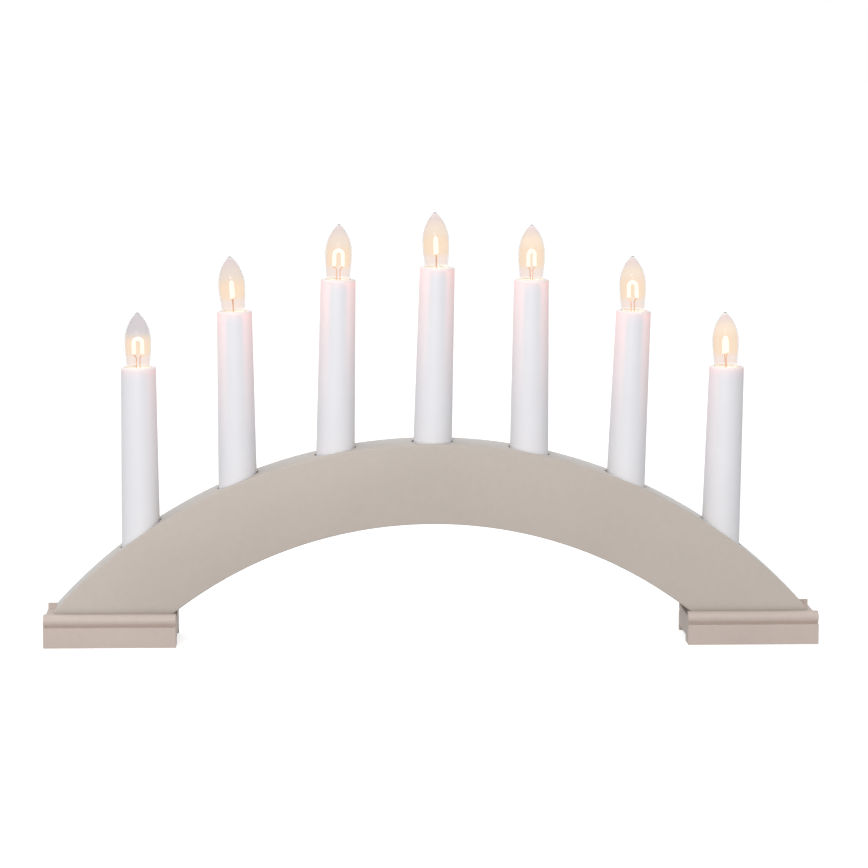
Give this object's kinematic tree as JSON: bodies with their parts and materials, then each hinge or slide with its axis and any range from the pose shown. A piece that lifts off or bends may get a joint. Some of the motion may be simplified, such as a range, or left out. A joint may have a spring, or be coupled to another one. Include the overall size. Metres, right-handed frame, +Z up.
{
  "type": "electric advent candle arch",
  "caption": "Painted wooden arch on two moulded feet, carrying upright candle tubes in drilled bores, each with a flame-shaped lamp that screws into its holder.",
  "frame": {"origin": "on the surface it stands on, under the middle of the arch and midway between front and back", "axes": "+X along the arch to the viewer's right, +Y from the front to the back, +Z up"},
  "size_m": [0.42, 0.041, 0.2342],
  "materials": {
    "arch_paint": "sprayed greige paint over fine wood fibre board, satin",
    "foot_paint": "sprayed greige paint on moulded wood, satin",
    "zinc_steel": "bright zinc-plated steel",
    "white_plastic": "white moulded plastic, semi-gloss, slightly translucent",
    "holder_plastic": "natural white moulded plastic",
    "lead_sheath": "soft white lead insulation",
    "brass": "drawn thin brass, bright",
    "clear_glass": "clear blown glass",
    "lit_filament": "warm white light-emitting coating"
  },
  "bodies": {
    "stand": {"arch": "arch_paint", "left_foot": "foot_paint", "right_foot": "foot_paint", "channel_cover": "arch_paint", "foot_screw_1": "zinc_steel", "foot_screw_2": "zinc_steel", "foot_screw_3": "zinc_steel", "foot_screw_4": "zinc_steel", "cord_bush": "white_plastic", "feed_lead": "lead_sheath", "return_lead": "lead_sheath", "series_lead_1": "lead_sheath", "series_lead_2": "lead_sheath", "series_lead_3": "lead_sheath", "series_lead_4": "lead_sheath", "series_lead_5": "lead_sheath", "series_lead_6": "lead_sheath", "candle_tube_1": "white_plastic", "lampholder_1": "holder_plastic", "holder_shell_1": "brass", "candle_tube_2": "white_plastic", "lampholder_2": "holder_plastic", "holder_shell_2": "brass", "candle_tube_3": "white_plastic", "lampholder_3": "holder_plastic", "holder_shell_3": "brass", "candle_tube_4": "white_plastic", "lampholder_4": "holder_plastic", "holder_shell_4": "brass", "candle_tube_5": "white_plastic", "lampholder_5": "holder_plastic", "holder_shell_5": "brass", "candle_tube_6": "white_plastic", "lampholder_6": "holder_plastic", "holder_shell_6": "brass", "candle_tube_7": "white_plastic", "lampholder_7": "holder_plastic", "holder_shell_7": "brass"},
    "lamp_1": {"lamp_glass_1": "clear_glass", "lamp_cap_1": "brass", "lamp_filament_1": "lit_filament"},
    "lamp_2": {"lamp_glass_2": "clear_glass", "lamp_cap_2": "brass", "lamp_filament_2": "lit_filament"},
    "lamp_3": {"lamp_glass_3": "clear_glass", "lamp_cap_3": "brass", "lamp_filament_3": "lit_filament"},
    "lamp_4": {"lamp_glass_4": "clear_glass", "lamp_cap_4": "brass", "lamp_filament_4": "lit_filament"},
    "lamp_5": {"lamp_glass_5": "clear_glass", "lamp_cap_5": "brass", "lamp_filament_5": "lit_filament"},
    "lamp_6": {"lamp_glass_6": "clear_glass", "lamp_cap_6": "brass", "lamp_filament_6": "lit_filament"},
    "lamp_7": {"lamp_glass_7": "clear_glass", "lamp_cap_7": "brass", "lamp_filament_7": "lit_filament"}
  },
  "joints": [
    {"name": "lamp_1_screw", "type": "hinge", "parent": "stand", "child": "lamp_1", "pos_m": [-0.15845, 0, 0.1417], "axis": [-0.0087, 0, 1], "range_deg": [0, 1260]},
    {"name": "lamp_2_screw", "type": "hinge", "parent": "stand", "child": "lamp_2", "pos_m": [-0.10663, 0, 0.17196], "axis": [-0.068, 0, 0.9977], "range_deg": [0, 1260]},
    {"name": "lamp_3_screw", "type": "hinge", "parent": "stand", "child": "lamp_3", "pos_m": [-0.05114, 0, 0.18914], "axis": [0.0192, 0, 0.9998], "range_deg": [0, 1260]},
    {"name": "lamp_4_screw", "type": "hinge", "parent": "stand", "child": "lamp_4", "pos_m": [0.00219, 0, 0.19561], "axis": [-0.0332, 0, 0.9995], "range_deg": [0, 1260]},
    {"name": "lamp_5_screw", "type": "hinge", "parent": "stand", "child": "lamp_5", "pos_m": [0.05315, 0, 0.18904], "axis": [0, 0, 1], "range_deg": [0, 1260]},
    {"name": "lamp_6_screw", "type": "hinge", "parent": "stand", "child": "lamp_6", "pos_m": [0.10846, 0, 0.17212], "axis": [-0.0192, 0, 0.9998], "range_deg": [0, 1260]},
    {"name": "lamp_7_screw", "type": "hinge", "parent": "stand", "child": "lamp_7", "pos_m": [0.15977, 0, 0.14183], "axis": [-0.0314, 0, 0.9995], "range_deg": [0, 1260]}
  ]
}
